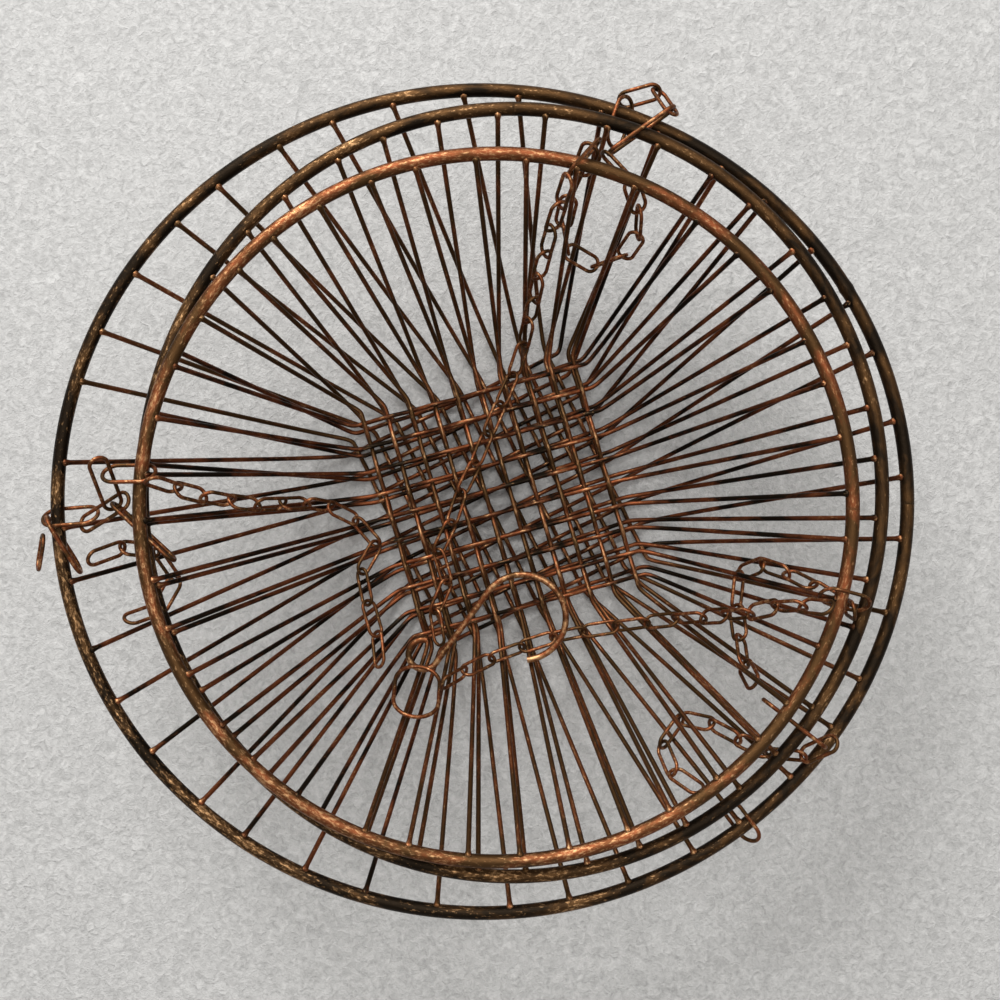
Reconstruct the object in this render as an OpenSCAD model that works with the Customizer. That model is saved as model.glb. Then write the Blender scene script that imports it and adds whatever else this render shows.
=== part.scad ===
// Hanging fruit basket of three round wire baskets, chains and a hook, laid down nested.
// Millimetres, +Z up, the weave of the bottom basket stands on z = 0.
// The middle and the top basket sit in the bottom one, each a little out of centre.

/* [Rims] */
// rod the rims are bent from, diameter
rim_rod_d = 5; // [4.5:0.25:6]
// bottom rim, outside size along x
bottom_rim_x = 320; // [312:1:330]
// bottom rim, outside size along y
bottom_rim_y = 310; // [306:1:318]
// middle rim, outside size along x
middle_rim_x = 275; // [273:1:277]
// middle rim, outside size along y
middle_rim_y = 285; // [282:1:288]
// top rim, outside size along x
top_rim_x = 261; // [260:1:262]
// top rim, outside size along y
top_rim_y = 259; // [258:1:260]
// height of every rim over its own woven base
basket_depth = 85; // [82:1:88]

/* [Basket wires] */
// wire of the weave and the walls, diameter
wire_d = 2.2; // [1.8:0.1:2.4]
// distance between neighbouring wires across the base
weave_pitch = 10.4; // [10:0.1:10.8]
// angle that the ten wires of one side spread over at the rim
spread_deg = 79; // [76:0.5:81]
// how far the hand set wire ends stray along the rim
stray_deg = 0.7; // [0:0.1:1]
// gap between wires where one passes over another
weave_gap = 0.3; // [0.3:0.05:0.6]
// length of the flattened weld at a wire end
nugget_len = 2.6; // [1.5:0.1:4]
// width of the flattened weld at a wire end
nugget_d = 3.2; // [2.4:0.1:4]

/* [Chains] */
// wire of the chain links, diameter
chain_wire_d = 1.45; // [1.2:0.05:1.6]
// outside length of a chain link
link_long = 17; // [16.4:0.1:17.6]
// outside width of a chain link
link_wide = 7.8; // [7.4:0.1:8.4]
// play left between two links
link_play = 0.5; // [0.3:0.05:0.8]

/* [Rim links] */
// wire of the small rim links, diameter
rim_link_wire_d = 1.5; // [1.3:0.05:1.6]
// outside width of a small rim link
rim_link_wide = 11; // [10.6:0.1:11.4]
// wire of the long rim links, diameter
long_link_wire_d = 1.6; // [1.4:0.05:1.7]

/* [Hook] */
// wire of the hook, diameter
hook_wire_d = 2.7; // [2.4:0.1:3]
// radius of the open bend, to the middle of the wire
hook_bend_r = 18; // [16:0.5:19]
// length of the straight shank
hook_shank = 37.6; // [34:0.2:40]
// radius of the closed eye, to the middle of the wire
hook_eye_r = 6.3; // [5.8:0.1:6.8]
// direction of the shank, seen from above
hook_turn = 54; // [50:1:58]
// wire of the gathering ring, diameter
ring_wire_d = 1.7; // [1.5:0.05:1.8]
// outside width of the gathering ring
ring_wide = 20; // [19:0.5:21]

/* [Place] */
// moves the nest along x so that the whole part is centred on the origin
nest_x = 10.4; // [0:0.1:20]
// moves the nest along y so that the whole part is centred on the origin
nest_y = 0.6; // [-5:0.1:5]
// smallest gap between pieces of different baskets
clear_gap = 0.3; // [0.3:0.05:0.4]

/* [Hidden] */
WIRES = 10;
rod_r = rim_rod_d / 2;
amp = (wire_d + weave_gap) / 2;
weave_top = amp + wire_d / 2;
nest_step = rim_rod_d + long_link_wire_d + 2 * clear_gap;
half_base = weave_pitch * WIRES / 2;
// where a wire ends: this far inside and this far above the middle of the rim rod
end_in = 1.8;
end_up = 1.9;
// share of the wall that curves up from the base
curve = 0.35;
wall_m = 1 / (1 - curve / 2);
chain_pitch = link_long - 2 * chain_wire_d - link_play;
chain_half = (link_wide - chain_wire_d) / 2 * sin(45) + chain_wire_d / 2;
// one basket: level in the nest, rim centre, rim sizes, directions of the crosswise and of the
// lengthwise wires in the base, and the same two directions at the rim
BOTTOM = [0, -6.5, -0.6, bottom_rim_x, bottom_rim_y, 26, 116, 34, 124];
MIDDLE = [1, 4.4, 2.7, middle_rim_x, middle_rim_y, 18, 107, 18, 106];
TOP = [2, -1.4, -2.7, top_rim_x, top_rim_y, 15, 106, 16, 107];

bronze = [0.27, 0.21, 0.17];
dark = [0.2, 0.17, 0.15];
copper = [0.45, 0.27, 0.18];
gold = [0.6, 0.4, 0.25];

function unit(v) = v / norm(v);
function base_z(b) = weave_top + b[0] * nest_step;
function rim_z(b) = base_z(b) + basket_depth;
function dir(a) = [cos(a), sin(a)];
function wall_g(w) = w <= 0 ? 0 : w < curve ? w * w / (2 * curve) * wall_m
                     : wall_m * (w - curve / 2);

// plan point of a wire end at an angle round the rim
function end_at(b, a) = [b[1] + (b[3] / 2 - rod_r - end_in) * cos(a),
                         b[2] + (b[4] / 2 - rod_r - end_in) * sin(a)];
// distance from the middle of the base to the ring of wire ends along the plan direction u
function end_r(b, u) =
    let (ax = b[3] / 2 - rod_r - end_in, ay = b[4] / 2 - rod_r - end_in,
         qa = u[0] * u[0] / ax / ax + u[1] * u[1] / ay / ay,
         qb = -2 * (u[0] * b[1] / ax / ax + u[1] * b[2] / ay / ay),
         qc = b[1] * b[1] / ax / ax + b[2] * b[2] / ay / ay - 1)
    (-qb + sqrt(qb * qb - 4 * qa * qc)) / (2 * qa);
function edge_r(b, u) = half_base / max(abs(u * dir(b[5])), abs(u * dir(b[6])));
// height of the middle of the wall or base over a plan point
function surf(b, x, y) =
    let (r = norm([x, y]), u = r > 0 ? [x, y] / r : [1, 0], e = edge_r(b, u))
    base_z(b) + (basket_depth + end_up) * wall_g((r - e) / (end_r(b, u) - e));
// a plan point raised so far that something of half height h clears the wires
function over(b, x, y, h) =
    let (gx = surf(b, x + 0.5, y) - surf(b, x - 0.5, y),
         gy = surf(b, x, y + 0.5) - surf(b, x, y - 0.5))
    [x, y, surf(b, x, y) + h * sqrt(1 + gx * gx + gy * gy)];

// hand set points [x, y, extra height] laid on a basket as a path for a chain, clear of wires
// that stand half a height h over the middle of the wall or base
function laid(b, h, pts) =
    [for (k = [0 : len(pts) - 2]) for (t = [0 : 0.25 : 0.99])
        let (p = pts[k] * (1 - t) + pts[k + 1] * t)
        over(b, p[0], p[1], h + clear_gap + chain_half + p[2])];
function cut(a, b, p, d) =
    let (qa = (b - a) * (b - a), qb = 2 * ((b - a) * (a - p)), qc = (a - p) * (a - p) - d * d)
    a + (b - a) * ((-qb + sqrt(qb * qb - 4 * qa * qc)) / (2 * qa));
function ahead(path, k, p, d) = k >= len(path) ? len(path)
                                : norm(path[k] - p) >= d ? k : ahead(path, k + 1, p, d);
// joints of a chain along a path, one link apart
function walk(path, p, k, d) =
    let (n = ahead(path, k, p, d))
    n >= len(path) ? [p] : concat([p], walk(path, cut(path[n - 1], path[n], p, d), n, d));
function joints(path) = walk(path, path[0], 1, chain_pitch);

// upper chains, from the top rim to the gathering ring
UPPER_BACK = joints(laid(TOP, weave_top, [[24.3, 114, 1], [20, 103, 0], [16, 91, 0], [13, 78, 0],
    [10, 66, 0], [5, 51, 0], [-1, 38, 0], [-6, 26, 0], [-11, 14, 0], [-17, 2, 0],
    [-21, -11, 0], [-27, -23, 0], [-22, -34, 0], [-28, -46, 0], [-25, -58, 0],
    [-28, -73, 0]]));
UPPER_LEFT = joints(laid(TOP, weave_top, [[-122.8, 7, 2.2], [-115.5, 3.4, 0.6], [-105, 0, 0], [-93, -2, 0],
    [-78, -1, 0], [-66, -4, 0], [-55, -13, 0], [-51, -21, 0], [-58, -29, 0],
    [-60, -37, 0], [-53, -46, 0], [-51, -58, 0], [-49, -70, 0], [-38, -79, 1]]));
UPPER_RIGHT = joints(laid(TOP, weave_top, [[116, -38, 1], [106, -38, 0], [92, -44, 0], [79, -47, 0],
    [58, -51, 0], [42, -54, 0], [25, -57, 0], [9, -62, 0], [-8, -68, 0], [-15, -71.4, 2.6],
    [-27, -76.4, 7.6]]));

// heights of the middle of the three rim rods
LOW = rim_z(BOTTOM);
MID = rim_z(MIDDLE);
HIGH = rim_z(TOP);
long_wide = rim_rod_d + 2 * clear_gap + 2 * long_link_wire_d;
weave_z = base_z(TOP) + weave_top;
// height of the middle of the gathering ring and of the hook
ring_z = weave_z + 7.6;
// ends of the links round the rims, to the middle of the wire, the inner end first
TOP_BACK = [[24, 116, HIGH + 0.3], [35.9, 129.4, HIGH]];
TOP_LEFT = [[-123.6, 9.7, HIGH + 0.5], [-142.6, 9.4, HIGH - 0.2]];
TOP_RIGHT = [[115, -33.4, HIGH + 0.2], [132.4, -38, HIGH]];
MIDDLE_BACK = [[39.6, 126.4, MID], [63.4, 143.3, MID]];
MIDDLE_LEFT = [[-118.9, -21.9, MID], [-141.3, -1.2, MID]];
MIDDLE_RIGHT = [[96.3, -72.9, MID], [118.5, -90.1, MID]];
BOTTOM_BACK = [[41.4, 131.2, LOW], [47.6, 149.1, LOW]];
BOTTOM_LEFT = [[-149, -5.2, LOW + 0.2], [-169.3, -6.8, LOW]];
BOTTOM_RIGHT = [[83.5, -111.5, LOW], [94.6, -126.3, LOW]];

// hand set points [x, y, extra height] half way between two baskets as a path for a chain
function between(lo, hi, pts) =
    [for (k = [0 : len(pts) - 2]) for (t = [0 : 0.25 : 0.99])
        let (p = pts[k] * (1 - t) + pts[k + 1] * t)
        [p[0], p[1], (surf(lo, p[0], p[1]) + surf(hi, p[0], p[1])) / 2 + p[2]]];

// chains between the top and the middle rim
LOWER_BACK = joints(concat([[32.6, 126.7, HIGH + 0.8]], between(MIDDLE, TOP,
    [[29, 119, 0], [24, 110, 0], [25, 100, 0], [34, 94, 0], [45, 93, 0], [53, 100, 0], [52, 112, 0],
    [45, 120, 0]]), [[37.6, 126.4, MID + 1.4]]));
LOWER_RIGHT = joints(concat([[126.6, -39.8, HIGH + 1.4], [127.2, -39, MID - 5.5]],
    between(MIDDLE, TOP, [[118, -33, 0], [110, -28, 0], [102, -25, 0], [95, -30, -1.7], [94, -40, -1.5],
    [95, -50, -1], [94, -59, -1], [94, -67, -1]]), [[96.7, -73.5, MID]]));
// chains between the middle and the bottom rim
BASE_BACK = joints([[62.8, 141.2, MID + 0.3], [58.3, 151.7, LOW], [44, 148.5, LOW - 3]]);
BASE_RIGHT = joints(concat([[120.9, -87.3, MID + 4.6], [111, -94, MID - 2.6]],
    between(BOTTOM, MIDDLE, [[98, -94.6, -2.6], [87, -89, 0], [76, -85, 0], [66, -88, 0], [63, -98, 0], [68, -107, 0],
    [78, -110, 0]]), [[84, -113, LOW]]));
SPARE_LEFT = joints(laid(BOTTOM, wire_d / 2, [[-152, -22, 0], [-144, -18, 0], [-134, -18, 1],
    [-126, -26, 1], [-126, -38, 0], [-135, -45, 0], [-147, -45, 0]]));

// a frame whose x runs from p to q, turned by roll about that line
function frame(p, q, roll) =
    let (t = unit(q - p), s = unit(cross([0, 0, 1], t)), u = cross(t, s), m = (p + q) / 2,
         y = s * cos(roll) + u * sin(roll), z = cross(t, y))
    [[t[0], y[0], z[0], m[0]], [t[1], y[1], z[1], m[1]], [t[2], y[2], z[2], m[2]],
     [0, 0, 0, 1]];

// an oval link lying in its own plane, long along x
module oval(long, wide, wire) {
    r = (wide - wire) / 2;
    s = (long - wide) / 2;
    for (e = [-1, 1]) {
        translate([e * s, 0, 0]) rotate(-90 * e)
            rotate_extrude(angle = 180) translate([r, 0]) circle(d = wire);
        translate([0, e * r, 0]) rotate([0, 90, 0]) cylinder(d = wire, h = 2 * s, center = true);
    }
}

// an oval link whose end wires lie on the points p and q
module oval_between(p, q, roll, wide, wire) {
    multmatrix(frame(p, q, roll)) oval(norm(q - p) + wire, wide, wire);
}

// chain links from joint i to joint j of a list, every second one rolled by first
module run(pts, i, j, first = 45) {
    for (k = [i : j - 1])
        multmatrix(frame(pts[k], pts[k + 1], k % 2 == 0 ? first : first - 90))
            oval(link_long, link_wide, chain_wire_d);
}

module shifted() {
    translate([nest_x, nest_y, 0]) children();
}

// a rod bent into a four arc oval, w outside along x and d along y
module rod_ring(w, d) {
    a = max(w, d) / 2 - rod_r;
    b = min(w, d) / 2 - rod_r;
    k = (a - b) / (2 - sqrt(2));
    rotate(w >= d ? 0 : 90) for (e = [0, 180]) rotate(e) {
        translate([k, 0, 0]) rotate(-45)
            rotate_extrude(angle = 90) translate([a - k, 0]) circle(r = rod_r);
        translate([0, -k, 0]) rotate(45)
            rotate_extrude(angle = 90) translate([b + k, 0]) circle(r = rod_r);
    }
}

module rim(b) {
    color(b[0] == 2 ? copper : dark)
        shifted() translate([b[1], b[2], rim_z(b)]) rod_ring(b[3], b[4]);
}

// a wire of six flat sides along a list of points, with one radius for each point
module swept(pts, radii) {
    n = len(pts);
    rings = [for (k = [0 : n - 1])
        let (t = unit(pts[min(k + 1, n - 1)] - pts[max(k - 1, 0)]),
             s = unit(cross([0, 0, 1], t)), u = cross(t, s))
        for (c = [0 : 5]) pts[k] + radii[k] * (s * cos(60 * c) + u * sin(60 * c))];
    polyhedron(
        points = rings,
        faces = concat([[5, 4, 3, 2, 1, 0]], [[for (c = [0 : 5]) (n - 1) * 6 + c]],
            [for (k = [0 : n - 2]) for (c = [0 : 5])
                [k * 6 + c, k * 6 + (c + 1) % 6, (k + 1) * 6 + (c + 1) % 6, (k + 1) * 6 + c]]));
}

// points up one wall, from the edge of the base to the rim
function wall_points(b, e, q) =
    [for (f = [0, 0.12, 0.24, 0.36, 1 - nugget_len / norm(q - e), 1])
        let (p = e * (1 - f) + q * f)
        [p[0], p[1], base_z(b) + (basket_depth + end_up) * wall_g(f)]];
function flip(v) = [for (k = [len(v) - 1 : -1 : 0]) v[k]];

// wire i of one family: along is its direction, across that of the wires it crosses
function wire_points(b, i, along, across, ends, up) =
    let (u = dir(along), n = dir(along + 90), m = dir(across + 90),
         t = (i - (WIRES - 1) / 2) * weave_pitch,
         turn = spread_deg * (i - (WIRES - 1) / 2) / (WIRES - 1),
         side = u * m > 0 ? 1 : -1,
         at = function (c) u * ((side * c - t * (n * m)) / (u * m)) + n * t,
         stray = stray_deg * sin(137 * i + 80 * b[0] + along),
         far = end_at(b, ends + turn + stray),
         near = end_at(b, ends + 180 - turn + stray))
    concat(
        flip(wall_points(b, at(-half_base), near)),
        [for (j = [0 : WIRES - 1])
            let (c = (j - (WIRES - 1) / 2) * weave_pitch, p = at(c),
                 jj = side > 0 ? j : WIRES - 1 - j)
            [p[0], p[1], base_z(b) + up * amp * ((i + jj) % 2 == 0 ? 1 : -1)]],
        wall_points(b, at(half_base), far));

module family(b, along, across, ends, up) {
    shifted() for (i = [0 : WIRES - 1]) {
        pts = wire_points(b, i, along, across, ends, up);
        n = len(pts);
        swept(pts, [for (k = [0 : n - 1]) k == 0 || k == n - 1 ? nugget_d / 2 : wire_d / 2]);
    }
}

module lengthwise(b) {
    color(bronze) family(b, b[6], b[5], b[8], 1);
}

module crosswise(b) {
    color(bronze) family(b, b[5], b[6], b[7], -1);
}

module chain(pts, i, j, first = 45) {
    color(copper) shifted() run(pts, i, j, first);
}

// hook wire bent round the origin through an angle, to the right of where it starts
module bent(r, from, angle) {
    rotate(from) rotate_extrude(angle = -angle) translate([r, 0]) circle(d = hook_wire_d);
}

// hook, flat along its own x, the eye on the origin
module hook_shape() {
    bent(hook_eye_r, -90, 180);
    bent(hook_eye_r, 90, 68);
    translate([0, -hook_eye_r, 0]) rotate([0, 90, 0]) cylinder(d = hook_wire_d, h = hook_shank);
    translate([hook_shank, -hook_eye_r - hook_bend_r, 0]) {
        bent(hook_bend_r, 90, 180);
        bent(hook_bend_r, -90, 48);
    }
}

// small oval round a rim rod between two ends
module rim_link(ends, roll) {
    color(copper) shifted() oval_between(ends[0], ends[1], roll, rim_link_wide, rim_link_wire_d);
}

// long oval standing on edge round the middle rim rod
module long_link(ends) {
    color(copper) shifted() oval_between(ends[0], ends[1], 90, long_wide, long_link_wire_d);
}

module gathering_ring() {
    color(copper) shifted()
        oval_between([-34, -69.7, ring_z + 2.8], [-34, -86.4, ring_z + 26.9], -8, ring_wide,
                     ring_wire_d);
}

module hook() {
    color(gold) shifted() translate([-32.2, -65, ring_z])
        rotate([0, 0, hook_turn]) rotate([0, -5.6, 0]) hook_shape();
}

module bottom_rim() { rim(BOTTOM); }
module middle_rim() { rim(MIDDLE); }
module top_rim() { rim(TOP); }
module top_link_back() { rim_link(TOP_BACK, 90); }
module top_link_left() { rim_link(TOP_LEFT, 50); }
module top_link_right() { rim_link(TOP_RIGHT, 50); }
module middle_link_back() { long_link(MIDDLE_BACK); }
module middle_link_left() { long_link(MIDDLE_LEFT); }
module middle_link_right() { long_link(MIDDLE_RIGHT); }
module bottom_link_back() { rim_link(BOTTOM_BACK, 50); }
module bottom_link_left() { rim_link(BOTTOM_LEFT, 50); }
module bottom_link_right() { rim_link(BOTTOM_RIGHT, 50); }

// one link between the small oval of the top rim and the long one of the middle rim
module lower_left_chain() {
    color(copper) shifted() oval_between([-141.8, 14.6, HIGH + 9.5], [-140.4, -3.1, MID + 0.1],
                                         -29, link_wide, chain_wire_d);
}

// one link between the long oval of the middle rim and the small one of the bottom rim
module base_left_chain() {
    color(copper) shifted() oval_between([-154.6, -9.9, LOW + 1.7], [-134.9, 1.1, MID + 2.2],
                                         -21, link_wide, chain_wire_d);
}

// loose end on the left: a wide oval round the bottom rim and the chain left over
module spare_left() {
    color(copper) shifted() {
        oval_between([-166.9, -6.4, LOW + 3.3], [-156.9, -26.8, LOW - 4.1], 79, 12, ring_wire_d);
        oval_between([-167.8, -13.4, LOW + 4], [-172, -25.4, LOW - 2], 60, link_wide,
                     chain_wire_d);
        run(SPARE_LEFT, 0, len(SPARE_LEFT) - 1);
    }
}

bottom_rim();
middle_rim();
top_rim();
lengthwise(BOTTOM);  // bottom_lengthwise
crosswise(BOTTOM);  // bottom_crosswise
lengthwise(MIDDLE);  // middle_lengthwise
crosswise(MIDDLE);  // middle_crosswise
lengthwise(TOP);  // top_lengthwise
crosswise(TOP);  // top_crosswise
chain(UPPER_BACK, 0, 4);  // upper_back_outer
chain(UPPER_BACK, 4, len(UPPER_BACK) - 1);  // upper_back_inner
chain(UPPER_LEFT, 0, 4);  // upper_left_outer
chain(UPPER_LEFT, 4, len(UPPER_LEFT) - 1);  // upper_left_inner
chain(UPPER_RIGHT, 0, 4);  // upper_right_outer
chain(UPPER_RIGHT, 4, len(UPPER_RIGHT) - 1);  // upper_right_inner
gathering_ring();
hook();
top_link_back();
top_link_left();
top_link_right();
middle_link_back();
middle_link_left();
middle_link_right();
bottom_link_back();
bottom_link_left();
bottom_link_right();
chain(LOWER_BACK, 0, len(LOWER_BACK) - 1, 7);  // lower_back_chain
lower_left_chain();
chain(LOWER_RIGHT, 0, len(LOWER_RIGHT) - 1);  // lower_right_chain
chain(BASE_BACK, 0, len(BASE_BACK) - 1);  // base_back_chain
base_left_chain();
chain(BASE_RIGHT, 0, len(BASE_RIGHT) - 1);  // base_right_chain
spare_left();
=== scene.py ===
"""Hanging fruit basket of three nested wire baskets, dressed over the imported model.

Metres, +Z up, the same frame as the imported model.
"""
import math

import bpy
import numpy as np
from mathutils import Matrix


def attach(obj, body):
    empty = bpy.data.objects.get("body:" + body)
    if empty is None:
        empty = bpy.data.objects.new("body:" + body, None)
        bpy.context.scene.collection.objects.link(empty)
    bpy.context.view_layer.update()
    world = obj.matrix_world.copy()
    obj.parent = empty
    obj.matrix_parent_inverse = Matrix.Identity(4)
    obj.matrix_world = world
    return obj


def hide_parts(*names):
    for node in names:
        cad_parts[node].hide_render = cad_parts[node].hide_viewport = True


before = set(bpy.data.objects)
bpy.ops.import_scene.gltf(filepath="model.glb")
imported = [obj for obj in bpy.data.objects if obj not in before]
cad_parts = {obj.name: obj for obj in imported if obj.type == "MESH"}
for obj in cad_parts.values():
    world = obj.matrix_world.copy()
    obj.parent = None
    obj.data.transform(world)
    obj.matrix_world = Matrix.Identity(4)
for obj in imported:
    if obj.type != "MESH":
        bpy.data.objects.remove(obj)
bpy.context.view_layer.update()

bl_info = {
    "name": "Hanging fruit basket",
    "version": (1, 0, 0),
    "blender": (4, 5, 0),
    "location": "3D View > Sidebar > Basket",
    "description": "Three nested wire baskets with woven bases, chains and a hook",
    "category": "Add Mesh",
}

WIRES = 10
BASKETS = ("bottom", "middle", "top")
MM = 0.001


# ---------------------------------------------------------------- settings
def length(name, words, default):
    return bpy.props.FloatProperty(name=name, description=words, default=default, min=0.0,
                                   precision=5, subtype="DISTANCE", unit="LENGTH")


def tint(name, words, default):
    return bpy.props.FloatVectorProperty(name=name, description=words, default=default, size=3,
                                         min=0.0, max=1.0, subtype="COLOR")


class BasketSizes(bpy.types.PropertyGroup):
    """Sizes that all three baskets share"""
    rod: length("Rim rod", "Diameter of the rod that the rims are bent from", 0.005)
    wire: length("Wire", "Diameter of the weave and wall wire", 0.0022)
    pitch: length("Weave pitch", "Distance between neighbouring wires across the base", 0.0104)
    thick: length("Seen wire", "Diameter that the wire is drawn with, worn under its size", 0.0019)
    gap: length("Weave gap", "Gap between two wires that cross", 0.0003)
    depth: length("Depth", "Height of a rim over its own woven base", 0.085)
    step: length("Nest step", "Height of each basket over the one that it sits in", 0.0072)
    end_in: length("End inside", "How far inside the rod's middle a wire ends", 0.0018)
    end_up: length("End above", "How far above the rod's middle a wire ends", 0.0019)
    nest_x: length("Nest x", "Place of the nest along x", 0.0104)
    nest_y: length("Nest y", "Place of the nest along y", 0.0006)
    spread: bpy.props.FloatProperty(name="Spread", description="Angle that ten wires fill",
                                    default=math.radians(79), subtype="ANGLE", unit="ROTATION")
    stray: bpy.props.FloatProperty(name="Stray", description="How far wire ends stray",
                                   default=math.radians(0.7), subtype="ANGLE", unit="ROTATION")


class BasketShape(bpy.types.PropertyGroup):
    """One basket of the nest"""
    level: bpy.props.IntProperty(name="Level", description="Place in the nest, from below")
    centre: bpy.props.FloatVectorProperty(name="Rim centre", description="Middle of the rim",
                                          size=2, precision=5, subtype="XYZ", unit="LENGTH")
    across: length("Outside x", "Outside size of the rim along x", 0.3)
    deep: length("Outside y", "Outside size of the rim along y", 0.3)
    weave: bpy.props.FloatVectorProperty(name="Weave", size=2,
                                         description="Directions of the two families in the base")
    ends: bpy.props.FloatVectorProperty(name="Ends", size=2,
                                        description="Directions of the two families at the rim")


class BasketColours(bpy.types.PropertyGroup):
    """Colours of the worn metal"""
    # black is also the ground of the crosswise wires, where it is partly painted shade
    black: tint("Black", "Darkest bronze on the rods", (0.015, 0.010, 0.006))
    bronze: tint("Bronze", "Brown of the weave wire", (0.075, 0.037, 0.014))
    copper: tint("Copper", "Red brown of the top rim and the chains", (0.20, 0.058, 0.022))
    # gold is the rubbed streaks and also the painted highlight on the near left of the rims
    gold: tint("Gold", "Rubbed, bright metal", (0.54, 0.31, 0.145))
    floor: tint("Floor", "Pale floor", (0.455, 0.45, 0.44))


# ---------------------------------------------------------------- surfaces
def new_piece(name, verts, faces, body, nodes, material, uv=None, marks=None):
    """Puts worked out arrays into a mesh that rides on a body and stands for CAD nodes."""
    mesh = bpy.data.meshes.new(name)
    mesh.from_pydata(verts.reshape(-1, 3).tolist(), [], faces.tolist())
    mesh.update()
    loops = np.empty(len(mesh.loops), dtype=np.int32)
    mesh.loops.foreach_get("vertex_index", loops)
    if uv is not None:
        layer = mesh.uv_layers.new(name="along")
        layer.data.foreach_set("uv", uv.reshape(-1, 2)[loops].astype(np.float32).ravel())
    for key, values in (marks or {}).items():
        mark = mesh.attributes.new(key, "FLOAT", "POINT")
        mark.data.foreach_set("value", values.astype(np.float32).ravel())
    mesh.polygons.foreach_set("use_smooth", np.ones(len(mesh.polygons), dtype=bool))
    piece = bpy.data.objects.new(name, mesh)
    bpy.context.scene.collection.objects.link(piece)
    mesh.materials.append(material)
    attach(piece, body)
    if nodes:
        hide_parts(*nodes)
    return piece


def tube_faces(rings, sides, closed):
    """Outward quads of a tube of rings x sides points. An open tube also gets both ends, each
    one a fan of quads across an even ring: point j, j + 1, and their mirror images."""
    last = rings if closed else rings - 1
    i = np.arange(last)[:, None]
    j = np.arange(sides)[None, :]
    a = i * sides + j
    b = i * sides + (j + 1) % sides
    c = ((i + 1) % rings) * sides + (j + 1) % sides
    d = ((i + 1) % rings) * sides + j
    wall = np.stack([a, b, c, d], axis=-1).reshape(-1, 4)
    if closed:
        return wall
    j = np.arange(sides // 2 - 1)
    near = np.stack([sides - 1 - j, sides - 2 - j, j + 1, j], axis=-1)
    far = near[:, ::-1] + (rings - 1) * sides
    return np.concatenate([wall, near, far])


def unit(v):
    return v / np.linalg.norm(v, axis=-1, keepdims=True)


def ellipse_point(shape, sizes, angle):
    """Point of the ring of wire ends: rim centre plus its two half sizes times cos and sin."""
    inset = sizes.rod / 2 + sizes.end_in
    return np.stack([shape.centre[0] + (shape.across / 2 - inset) * np.cos(angle),
                     shape.centre[1] + (shape.deep / 2 - inset) * np.sin(angle)], axis=-1)


def wall_rise(w):
    """Share of the wall's height at share w of its way out: a parabola up to 0.35, then straight."""
    m = 1 / (1 - 0.35 / 2)
    return np.where(w < 0.35, w * w / 0.7 * m, m * (w - 0.175))


def rim_centre_line(shape, sizes, n):
    """Four arc oval of the rod's middle: end arcs of radius b - k (sqrt 2 - 1) about +-k on the
    long axis, side arcs of radius b + k about -+k on the short one, k = (a - b) / (2 - sqrt 2)."""
    a = max(shape.across, shape.deep) / 2 - sizes.rod / 2
    b = min(shape.across, shape.deep) / 2 - sizes.rod / 2
    k = (a - b) / (2 - math.sqrt(2))
    t = np.linspace(0, 2 * np.pi, n, endpoint=False)
    side = np.abs(np.sin(t)) > math.sin(math.pi / 4)
    x = np.where(side, (b + k) * np.cos(t), np.sign(np.cos(t)) * k + (a - k) * np.cos(t))
    y = np.where(side, (b + k) * np.sin(t) - np.sign(np.sin(t)) * k, (a - k) * np.sin(t))
    if shape.across < shape.deep:
        x, y, t = -y, x, t + np.pi / 2
    return x, y, t


def rod_surface(shape, sizes, weld):
    """Round rod along the oval. The radius swells and steps by a tenth at the butt weld: r times
    1 + 0.1 exp(-(distance / 1.5 mm) squared). The rods get a painted highlight on the near left:
    the mark worn, the cosine of the angle from there, pushes the rubbed colour onto that side."""
    n, sides = 900, 22
    x, y, t = rim_centre_line(shape, sizes, n)
    out = np.stack([np.cos(t), np.sin(t)], axis=-1)
    v = np.linspace(0, 2 * np.pi, sides, endpoint=False)
    r = np.full(n, sizes.rod / 2)
    if weld is not None:
        turn = (t - weld + np.pi) % (2 * np.pi) - np.pi
        run = turn * shape.across / 2
        r = r * (1 + 0.1 * np.exp(-(run / 0.0015) ** 2))
    z = rim_height(shape, sizes)
    cx = shape.centre[0] + sizes.nest_x
    cy = shape.centre[1] + sizes.nest_y
    radial = r[:, None] * np.cos(v)
    verts = np.stack([cx + x[:, None] + out[:, 0, None] * radial,
                      cy + y[:, None] + out[:, 1, None] * radial,
                      z - r[:, None] * np.sin(v)], axis=-1)
    uv = np.stack(np.broadcast_arrays((t * shape.across / 2)[:, None],
                                      (v * sizes.rod / 2)[None, :]), axis=-1)
    # painted highlight: the mark worn brightens one side of each rim, most toward 215 degrees, as
    # light would fall there; it is not wear
    worn = np.repeat(0.5 + 0.5 * np.cos(t - math.radians(215)), sides)
    return verts, tube_faces(n, sides, True), uv, {"worn": worn}


def base_height(shape, sizes):
    return (sizes.wire + sizes.gap) / 2 + sizes.wire / 2 + shape.level * sizes.step


def rim_height(shape, sizes):
    return base_height(shape, sizes) + sizes.depth


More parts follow.
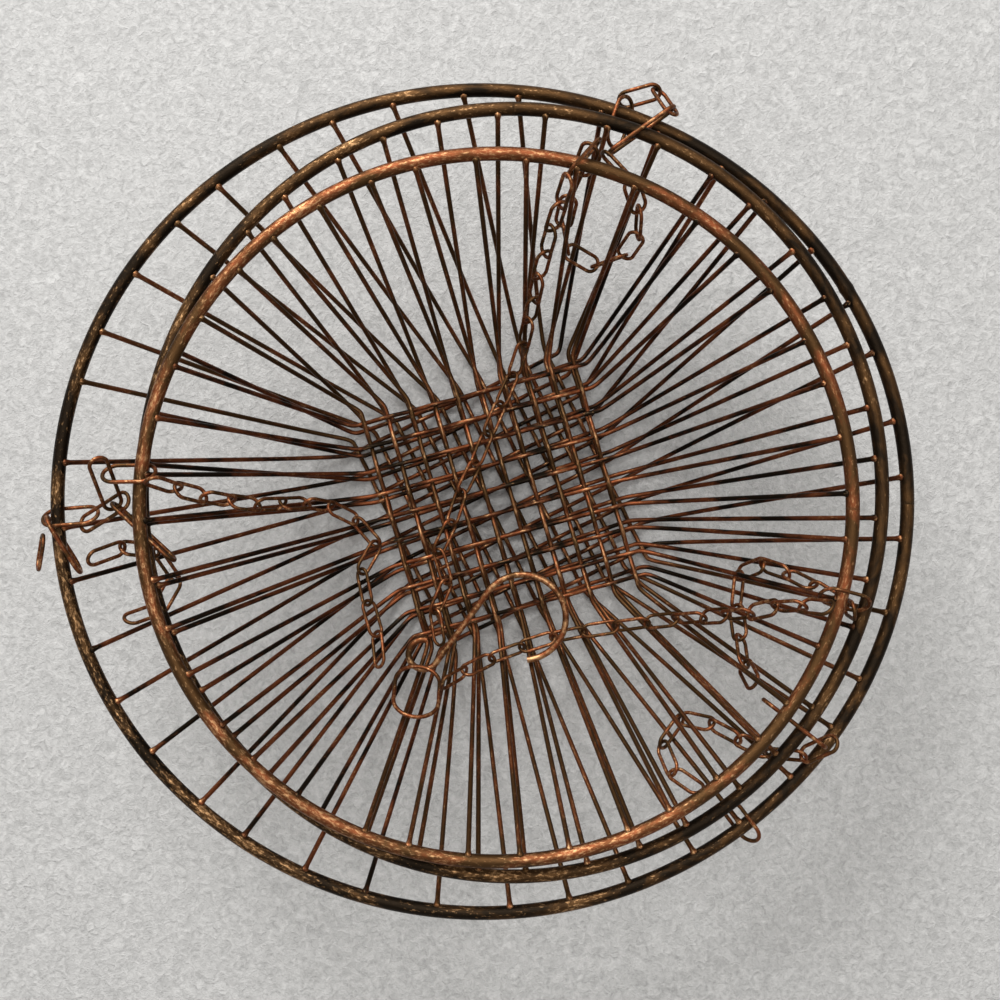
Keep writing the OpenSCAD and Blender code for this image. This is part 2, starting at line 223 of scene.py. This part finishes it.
def wire_lines(shape, sizes, family):
    """Middle lines of ten wires, shape (10, n, 3), and how high each point rides on a crossing.
    Across the base the height is a cosine wave of one pitch for each crossing; up the walls it
    follows wall_rise. Both are then averaged over a few millimetres, so the bends are round."""
    other = 1 - family
    along = math.radians(shape.weave[1 - family])
    across = math.radians(shape.weave[1 - other])
    ends = math.radians(shape.ends[1 - family])
    u = np.array([math.cos(along), math.sin(along)])
    nrm = np.array([-math.sin(along), math.cos(along)])
    m = np.array([-math.sin(across), math.cos(across)])
    i = np.arange(WIRES)[:, None]
    k = i - (WIRES - 1) / 2
    t = k * sizes.pitch
    turn = sizes.spread * k / (WIRES - 1)
    stray = sizes.stray * np.sin(np.radians(137 * i + 80 * shape.level
                                            + shape.weave[1 - family]))
    side = 1 if u @ m > 0 else -1
    half = sizes.pitch * WIRES / 2
    up = 1 if family == 0 else -1

    def base_point(c):
        s = (side * c - t * (nrm @ m)) / (u @ m)
        return s[..., None] * u + np.broadcast_to(t, s.shape)[..., None] * nrm

    nb, nw = 150, 70
    c = np.linspace(-half, half, nb)[None, :] + np.zeros((WIRES, 1))
    mid = base_point(c)
    index = c / sizes.pitch + (WIRES - 1) / 2
    if side < 0:
        index = WIRES - 1 - index
    wave = up * np.cos(np.pi * (index + i))
    amp = (sizes.wire + sizes.gap) / 2
    z0 = base_height(shape, sizes)
    mid_z = z0 + amp * wave
    f = (1 - (1 - np.linspace(0, 1, nw)) ** 1.35)[None, 1:, None]
    far = ellipse_point(shape, sizes, ends + turn + stray)
    near = ellipse_point(shape, sizes, ends + math.pi - turn + stray)
    e1 = base_point(np.full((WIRES, 1), half))
    e0 = base_point(np.full((WIRES, 1), -half))
    rise = (sizes.depth + sizes.end_up) * wall_rise(f[..., 0]) + z0
    w1 = e1 * (1 - f) + far * f
    w0 = (e0 * (1 - f) + near * f)[:, ::-1]
    xy = np.concatenate([w0, mid, w1], axis=1)
    z = np.concatenate([np.broadcast_to(rise[:, ::-1], (WIRES, nw - 1)), mid_z,
                        np.broadcast_to(rise, (WIRES, nw - 1))], axis=1)
    line = np.concatenate([xy, z[..., None]], axis=-1)
    over = np.concatenate([np.zeros((WIRES, nw - 1)), np.clip(wave, 0, 1),
                           np.zeros((WIRES, nw - 1))], axis=1)
    soft = line.copy()
    for _ in range(6):
        soft[:, 1:-1] = (soft[:, :-2] + 2 * soft[:, 1:-1] + soft[:, 2:]) / 4
    line[:, 3:-3] = soft[:, 3:-3]
    line[..., 0] += sizes.nest_x
    line[..., 1] += sizes.nest_y
    return line, over


def wire_surface(shape, sizes, family):
    """Round wire along each middle line. The last 3 mm are pressed flat into a weld nugget: the
    half width grows from r to 1.6 r with the square of a smooth step, the half height shrinks to
    0.85 r, and both close on an arc at the very end."""
    line, over = wire_lines(shape, sizes, family)
    sides = 12
    count, n, _ = line.shape
    way = np.diff(line, axis=1)
    dist = np.concatenate([np.zeros((count, 1)), np.cumsum(np.linalg.norm(way, axis=-1), 1)], 1)
    left = np.minimum(dist, dist[:, -1:] - dist)
    tan = unit(np.gradient(line, axis=1))
    flat = unit(np.cross(np.array([0, 0, 1.0]), tan))
    upw = np.cross(tan, flat)
    r = sizes.thick / 2
    press = np.clip(1 - left / 0.0034, 0, 1)
    press = press * press * (3 - 2 * press)
    cap = np.sqrt(np.clip(1 - (1 - np.clip(left / 0.0011, 0, 1)) ** 2, 0.0, 1))
    wide = r * (1 + 0.6 * press) * np.maximum(cap, 0.05)
    tall = r * (1 - 0.12 * press) * np.maximum(cap, 0.05)
    a = np.linspace(0, 2 * np.pi, sides, endpoint=False)
    verts = (line[:, :, None] + flat[:, :, None] * (wide[..., None] * np.cos(a))[..., None]
             + upw[:, :, None] * (tall[..., None] * np.sin(a))[..., None])
    one = tube_faces(n, sides, False)
    faces = (one[None] + (np.arange(count) * n * sides)[:, None, None]).reshape(-1, 4)
    uv = np.stack(np.broadcast_arrays((dist + np.arange(count)[:, None] * 0.37)[..., None],
                                      (a * r)[None, None]), axis=-1)
    marks = {"over": np.repeat(over, sides, axis=1), "weld": np.repeat(press, sides, axis=1),
             "tone": np.repeat((np.sin(np.arange(count) * 2.4 + family) * 0.5 + 0.5), n * sides)}
    return verts, faces, uv, marks


# ---------------------------------------------------------------- materials
def socket(group, name, kind, way, default=None):
    s = group.interface.new_socket(name=name, in_out=way, socket_type=kind)
    if default is not None:
        s.default_value = default
    return s


def worn_metal_group():
    """Worn metal: a ground colour broken by patches, streaks rubbed bright, and fine pits."""
    name = "worn_metal"
    if name in bpy.data.node_groups:
        return bpy.data.node_groups[name]
    g = bpy.data.node_groups.new(name, "ShaderNodeTree")
    socket(g, "Vector", "NodeSocketVector", "INPUT")
    socket(g, "Ground", "NodeSocketColor", "INPUT", (0.02, 0.02, 0.02, 1))
    socket(g, "Patch", "NodeSocketColor", "INPUT", (0.1, 0.05, 0.03, 1))
    socket(g, "Rubbed", "NodeSocketColor", "INPUT", (0.5, 0.3, 0.15, 1))
    socket(g, "Patch Share", "NodeSocketFloat", "INPUT", 0.5)
    socket(g, "Rub", "NodeSocketFloat", "INPUT", 0.4)
    # Rub Bias is partly real rub on crossings and welds, partly the painted highlight on one side of
    # the rims
    socket(g, "Rub Bias", "NodeSocketFloat", "INPUT", 0.0)
    socket(g, "Coarse", "NodeSocketFloat", "INPUT", 60.0)
    socket(g, "Fine", "NodeSocketFloat", "INPUT", 700.0)
    socket(g, "Color", "NodeSocketColor", "OUTPUT")
    socket(g, "Roughness", "NodeSocketFloat", "OUTPUT")
    socket(g, "Height", "NodeSocketFloat", "OUTPUT")
    n, k = g.nodes, g.links
    gi = n.new("NodeGroupInput")
    go = n.new("NodeGroupOutput")

    def noise(scale_socket, detail, rough, distortion=0.0):
        t = n.new("ShaderNodeTexNoise")
        t.inputs["Detail"].default_value = detail
        t.inputs["Roughness"].default_value = rough
        t.inputs["Distortion"].default_value = distortion
        k.new(gi.outputs["Vector"], t.inputs["Vector"])
        k.new(gi.outputs[scale_socket], t.inputs["Scale"])
        return t

    def calc(op, a, b=None, clamp=False):
        t = n.new("ShaderNodeMath")
        t.operation = op
        t.use_clamp = clamp
        for s, v in ((0, a), (1, b)):
            if v is None:
                continue
            if isinstance(v, (int, float)):
                t.inputs[s].default_value = v
            else:
                k.new(v, t.inputs[s])
        return t.outputs[0]

    def blend(fac, a, b):
        t = n.new("ShaderNodeMix")
        t.data_type = "RGBA"
        k.new(fac, t.inputs["Factor"])
        k.new(a, t.inputs["A"])
        k.new(b, t.inputs["B"])
        return t.outputs["Result"]

    coarse = noise("Coarse", 4, 0.6, 0.4)
    fine = noise("Fine", 6, 0.7)
    ramp = calc("ADD", calc("MULTIPLY", calc("SUBTRACT", coarse.outputs["Fac"], 0.5), 6.0),
                gi.outputs["Patch Share"], clamp=True)
    ground = blend(ramp, gi.outputs["Ground"], gi.outputs["Patch"])
    rub = calc("ADD", calc("MULTIPLY", calc("SUBTRACT", fine.outputs["Fac"], 0.5), 6.5),
               calc("MULTIPLY", calc("SUBTRACT", coarse.outputs["Fac"], 0.45), 3.0))
    rub = calc("ADD", calc("ADD", rub, gi.outputs["Rub"]), gi.outputs["Rub Bias"], clamp=True)
    rub = calc("MULTIPLY", rub, 0.85)
    colour = blend(rub, ground, gi.outputs["Rubbed"])
    k.new(colour, go.inputs["Color"])
    rough = calc("SUBTRACT", calc("ADD", calc("MULTIPLY", fine.outputs["Fac"], 0.3), 0.34),
                 calc("MULTIPLY", rub, 0.14))
    k.new(rough, go.inputs["Roughness"])
    k.new(fine.outputs["Fac"], go.inputs["Height"])
    return g


def metal(name, ground, patch, rubbed, share, rub, coarse, fine, metallic=0.95, uv=True,
          stretch=(1, 1, 1), over=0.0, weld=0.0, worn=0.0, bump=0.12):
    """Material of one worn metal finish, on the piece's own UV or on Object coordinates."""
    mat = bpy.data.materials.new(name)
    mat.use_nodes = True
    n, k = mat.node_tree.nodes, mat.node_tree.links
    shader = n["Principled BSDF"]
    group = n.new("ShaderNodeGroup")
    group.node_tree = worn_metal_group()
    where = n.new("ShaderNodeTexCoord")
    mapping = n.new("ShaderNodeMapping")
    mapping.inputs["Scale"].default_value = stretch
    k.new(where.outputs["UV" if uv else "Object"], mapping.inputs["Vector"])
    k.new(mapping.outputs["Vector"], group.inputs["Vector"])
    for key, value in (("Ground", ground), ("Patch", patch), ("Rubbed", rubbed)):
        group.inputs[key].default_value = (*value, 1)
    group.inputs["Patch Share"].default_value = share
    group.inputs["Rub"].default_value = rub
    group.inputs["Coarse"].default_value = coarse
    group.inputs["Fine"].default_value = fine
    bias = None
    # over and weld add rub on the crossings and the weld nuggets; worn adds a painted highlight on
    # one side of the rims
    for key, amount in (("over", over), ("weld", weld), ("worn", worn)):
        if not amount:
            continue
        mark = n.new("ShaderNodeAttribute")
        mark.attribute_name = key
        times = n.new("ShaderNodeMath")
        times.operation = "MULTIPLY_ADD"
        times.inputs[1].default_value = amount
        k.new(mark.outputs["Fac"], times.inputs[0])
        if bias is None:
            times.inputs[2].default_value = 0.0
        else:
            k.new(bias, times.inputs[2])
        bias = times.outputs[0]
    if bias is not None:
        k.new(bias, group.inputs["Rub Bias"])
    k.new(group.outputs["Color"], shader.inputs["Base Color"])
    k.new(group.outputs["Roughness"], shader.inputs["Roughness"])
    shader.inputs["Metallic"].default_value = metallic
    shader.inputs["Specular IOR Level"].default_value = 0.3
    height = n.new("ShaderNodeBump")
    height.inputs["Strength"].default_value = bump
    height.inputs["Distance"].default_value = 0.0004
    k.new(group.outputs["Height"], height.inputs["Height"])
    k.new(height.outputs["Normal"], shader.inputs["Normal"])
    return mat


def paper_grain(mat, colour):
    """Crumpled pale fibres: two twisted noises, near two and four millimetres across."""
    n, k = mat.node_tree.nodes, mat.node_tree.links
    shader = n["Principled BSDF"]
    where = n.new("ShaderNodeTexCoord")
    total = None
    for scale, share in ((620, 0.4), (260, 0.6)):
        grain = n.new("ShaderNodeTexNoise")
        grain.inputs["Scale"].default_value = scale
        grain.inputs["Detail"].default_value = 4
        grain.inputs["Distortion"].default_value = 1.2
        k.new(where.outputs["Object"], grain.inputs["Vector"])
        times = n.new("ShaderNodeMath")
        times.operation = "MULTIPLY_ADD"
        times.inputs[1].default_value = share
        times.inputs[2].default_value = 0.0
        k.new(grain.outputs["Fac"], times.inputs[0])
        if total is not None:
            k.new(total, times.inputs[2])
        total = times.outputs[0]
    mix = n.new("ShaderNodeMix")
    mix.data_type = "RGBA"
    mix.inputs["A"].default_value = (*[c * 0.35 for c in colour], 1)
    mix.inputs["B"].default_value = (*[min(1, c * 1.65) for c in colour], 1)
    k.new(total, mix.inputs["Factor"])
    k.new(mix.outputs["Result"], shader.inputs["Base Color"])
    bump = n.new("ShaderNodeBump")
    bump.inputs["Strength"].default_value = 1.0
    bump.inputs["Distance"].default_value = 0.0012
    k.new(total, bump.inputs["Height"])
    k.new(bump.outputs["Normal"], shader.inputs["Normal"])


def finish_of(kind):
    """Makes a named finish once and hands it out again."""
    if kind in bpy.data.materials:
        return bpy.data.materials[kind]
    c = bpy.context.scene.basket_colours
    black, bronze, copper, gold = tuple(c.black), tuple(c.bronze), tuple(c.copper), tuple(c.gold)
    rod = dict(coarse=90, fine=800, stretch=(0.5, 1.3, 1), bump=0.5)
    wire = dict(coarse=90, fine=750, stretch=(0.5, 1.6, 1), bump=0.3)
    # worn= sets how strongly the near left of each rim gets the painted highlight: most on the
    # bottom rim, least on the top
    if kind == "rod_bottom":
        return metal(kind, black, bronze, gold, 0.35, -1.05, worn=0.75, **rod)
    if kind == "rod_middle":
        return metal(kind, black, bronze, gold, 0.5, -0.95, worn=0.65, **rod)
    if kind == "rod_top":
        return metal(kind, bronze, copper, gold, 0.35, -0.55, worn=0.35, **rod)
    if kind.startswith("wire_lengthwise"):
        return metal(kind, bronze, copper, gold, 0.25, -0.6, over=0.55, weld=0.6, **wire)
    # the crosswise wires take the black ground: partly their own darker tone, partly painted shade
    # for the wall wires that lie in shade
    if kind.startswith("wire_crosswise"):
        return metal(kind, black, copper, gold, 0.45, -0.75, over=0.45, weld=0.6, **wire)
    if kind == "hook_metal":
        return metal(kind, bronze, copper, gold, 0.8, 0.05, 60, 420, uv=False, bump=0.3)
    return metal(kind, bronze, copper, gold, 0.5, -0.4, 120, 600, uv=False, bump=0.3)


# ---------------------------------------------------------------- operators
class BASKET_OT_rims(bpy.types.Operator):
    """Makes the three rim rods"""
    bl_idname = "basket.rims"
    bl_label = "Rim rods"

    def execute(self, context):
        sizes = context.scene.basket_sizes
        for name, shape in zip(BASKETS, context.scene.basket_shapes):
            weld = math.radians(32) if name == "bottom" else None
            verts, faces, uv, marks = rod_surface(shape, sizes, weld)
            new_piece(name + "_rim_rod", verts, faces, name + "_basket", [name + "_rim"],
                      finish_of("rod_" + name), uv,
                      marks)
        return {"FINISHED"}


class BASKET_OT_wires(bpy.types.Operator):
    """Makes the woven wires of the three baskets"""
    bl_idname = "basket.wires"
    bl_label = "Woven wires"

    def execute(self, context):
        sizes = context.scene.basket_sizes
        for name, shape in zip(BASKETS, context.scene.basket_shapes):
            for family, word in enumerate(("lengthwise", "crosswise")):
                verts, faces, uv, marks = wire_surface(shape, sizes, family)
                new_piece(f"{name}_{word}_wires", verts, faces, name + "_basket",
                          [f"{name}_{word}"], finish_of(f"wire_{word}"), uv, marks)
        return {"FINISHED"}


class BASKET_OT_chains(bpy.types.Operator):
    """Gives the chains, the rim links and the hook their worn metal"""
    bl_idname = "basket.chains"
    bl_label = "Chains and hook"

    def execute(self, context):
        for name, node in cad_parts.items():
            if name.endswith("_rim") or name.endswith("wise"):
                continue
            mat = finish_of("hook_metal" if name == "hook" else "chain_metal")
            node.data.materials.clear()
            node.data.materials.append(mat)
        return {"FINISHED"}


class BASKET_OT_stage(bpy.types.Operator):
    """Makes the floor, the lights and the camera"""
    bl_idname = "basket.stage"
    bl_label = "Stage"

    def execute(self, context):
        scene = context.scene
        sizes = scene.basket_sizes
        mat = bpy.data.materials.new("pale_floor")
        mat.use_nodes = True
        shader = mat.node_tree.nodes["Principled BSDF"]
        paper_grain(mat, tuple(scene.basket_colours.floor))
        shader.inputs["Roughness"].default_value = 0.9
        shader.inputs["Specular IOR Level"].default_value = 0.1
        x = np.array([-6, 6, 6, -6.0])
        y = np.array([-6, -6, 6, 6.0])
        verts = np.stack([x, y, np.full(4, -0.0002)], axis=-1)
        mesh = bpy.data.meshes.new("floor")
        mesh.from_pydata(verts.tolist(), [], [(0, 1, 2, 3)])
        mesh.materials.append(mat)
        floor = bpy.data.objects.new("floor", mesh)
        scene.collection.objects.link(floor)
        world = bpy.data.worlds.new("soft_world")
        scene.world = world
        world.use_nodes = True
        back = world.node_tree.nodes["Background"]
        back.inputs["Color"].default_value = (1.0, 0.985, 0.965, 1)
        back.inputs["Strength"].default_value = 0.48
        for name, place, size, power in (("window", (-0.55, 1.35, 1.35), 0.8, 38),
                                         ("ceiling", (0.2, 0.3, 1.9), 1.2, 14)):
            lamp = bpy.data.lights.new(name, "AREA")
            lamp.size = size
            lamp.energy = power
            obj = bpy.data.objects.new(name, lamp)
            scene.collection.objects.link(obj)
            obj.location = place
            aim = -np.array(place) + np.array([0, 0, 0.05])
            aim = aim / np.linalg.norm(aim)
            yaw = math.atan2(aim[1], aim[0])
            obj.rotation_euler = (math.acos(-aim[2]), 0, yaw - math.pi / 2)
        view = bpy.data.cameras.new("photo_view")
        view.sensor_width = 36
        view.lens = 43.7
        camera = bpy.data.objects.new("photo_view", view)
        scene.collection.objects.link(camera)
        camera.location = (sizes.nest_x, sizes.nest_y, 0.08735 + 0.45)
        camera.rotation_euler = (0, 0, 0)
        scene.camera = camera
        scene.view_settings.view_transform = "Standard"
        return {"FINISHED"}


class BASKET_PT_panel(bpy.types.Panel):
    """Lists the steps that make the basket"""
    bl_idname = "BASKET_PT_panel"
    bl_label = "Hanging fruit basket"
    bl_space_type = "VIEW_3D"
    bl_region_type = "UI"
    bl_category = "Basket"

    def draw(self, context):
        column = self.layout.column()
        for step in STEPS:
            column.operator(step.bl_idname)
        for name in BasketSizes.__annotations__:
            column.prop(context.scene.basket_sizes, name)
        for name in BasketColours.__annotations__:
            column.prop(context.scene.basket_colours, name)


STEPS = (BASKET_OT_stage, BASKET_OT_rims, BASKET_OT_wires, BASKET_OT_chains)
CLASSES = (BasketSizes, BasketShape, BasketColours) + STEPS + (BASKET_PT_panel,)
SHAPES = ((0, (-6.5, -0.6), 320, 310, (26, 116), (34, 124)),
          (1, (4.4, 2.7), 275, 285, (18, 107), (18, 106)),
          (2, (-1.4, -2.7), 261, 259, (15, 106), (16, 107)))


def register():
    for cls in CLASSES:
        bpy.utils.register_class(cls)
    bpy.types.Scene.basket_sizes = bpy.props.PointerProperty(type=BasketSizes)
    bpy.types.Scene.basket_colours = bpy.props.PointerProperty(type=BasketColours)
    bpy.types.Scene.basket_shapes = bpy.props.CollectionProperty(type=BasketShape)


def unregister():
    del bpy.types.Scene.basket_shapes
    del bpy.types.Scene.basket_colours
    del bpy.types.Scene.basket_sizes
    for cls in reversed(CLASSES):
        bpy.utils.unregister_class(cls)


def main():
    register()
    shapes = bpy.context.scene.basket_shapes
    shapes.clear()
    for level, centre, across, deep, weave, ends in SHAPES:
        shape = shapes.add()
        shape.level = level
        shape.centre = (centre[0] * MM, centre[1] * MM)
        shape.across = across * MM
        shape.deep = deep * MM
        shape.weave = weave
        shape.ends = ends
    bpy.ops.basket.stage()
    bpy.ops.basket.rims()
    bpy.ops.basket.wires()
    bpy.ops.basket.chains()


if __name__ == "__main__":
    main()
